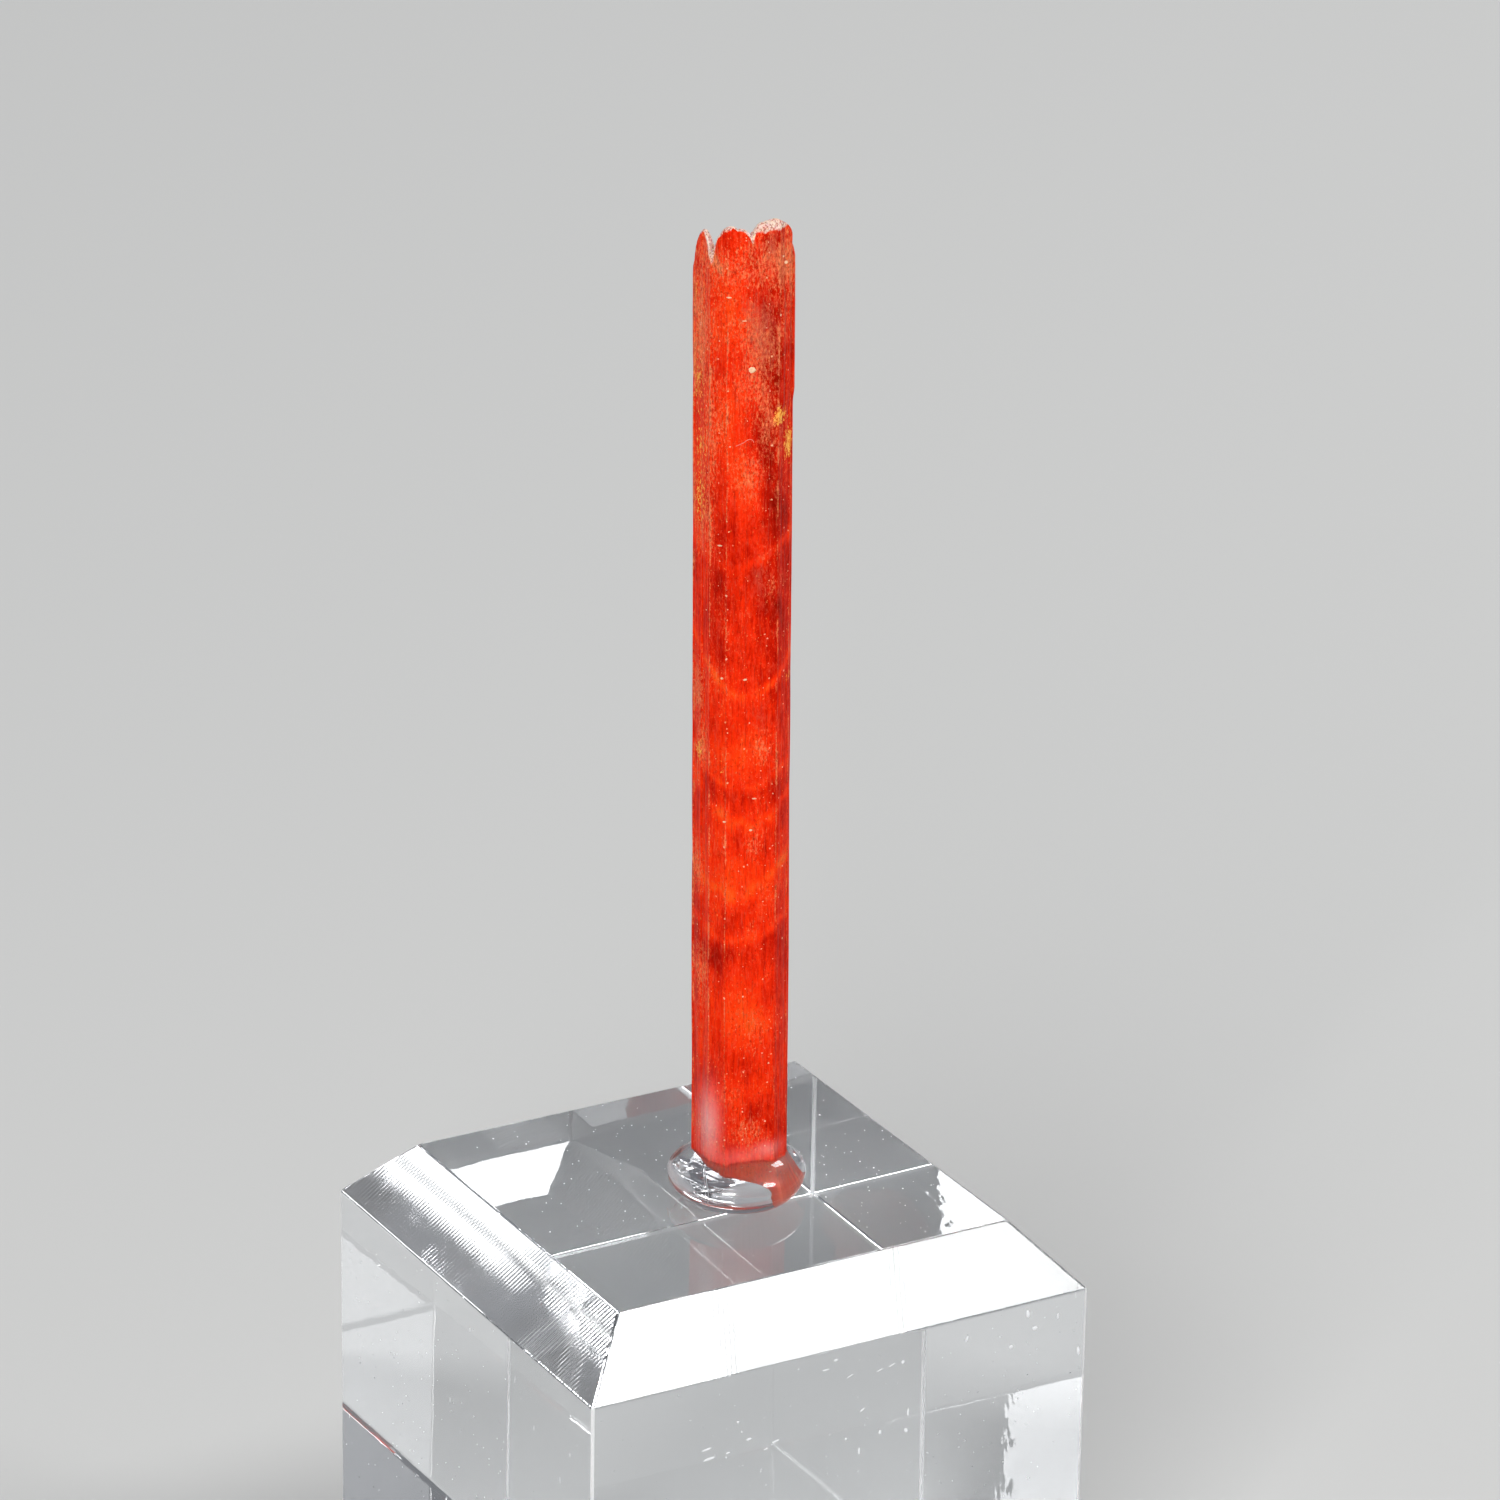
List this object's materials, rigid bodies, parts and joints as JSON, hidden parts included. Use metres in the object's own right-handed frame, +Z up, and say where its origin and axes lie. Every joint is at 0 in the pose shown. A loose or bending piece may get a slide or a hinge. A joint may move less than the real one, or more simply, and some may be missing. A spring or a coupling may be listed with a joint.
{
  "type": "crocoite crystal specimen on acrylic block",
  "caption": "Slender striated red crocoite prism standing in a bead of clear adhesive on a clear acrylic display block with a bevelled top.",
  "frame": {"origin": "centre of the block's underside, on the surface it stands on", "axes": "+Z up along the crystal, +X along the block's wider side, +Y away from the block's front wall"},
  "size_m": [0.0254, 0.0248, 0.0705],
  "materials": {
    "crocoite": "glossy striated crystal faces, frosted broken end",
    "clear_adhesive": "clear, smooth as it set",
    "cast_acrylic": "polished clear cast acrylic"
  },
  "bodies": {
    "root": {"crocoite_crystal": "crocoite", "adhesive_bead": "clear_adhesive", "acrylic_block": "cast_acrylic"}
  },
  "joints": []
}
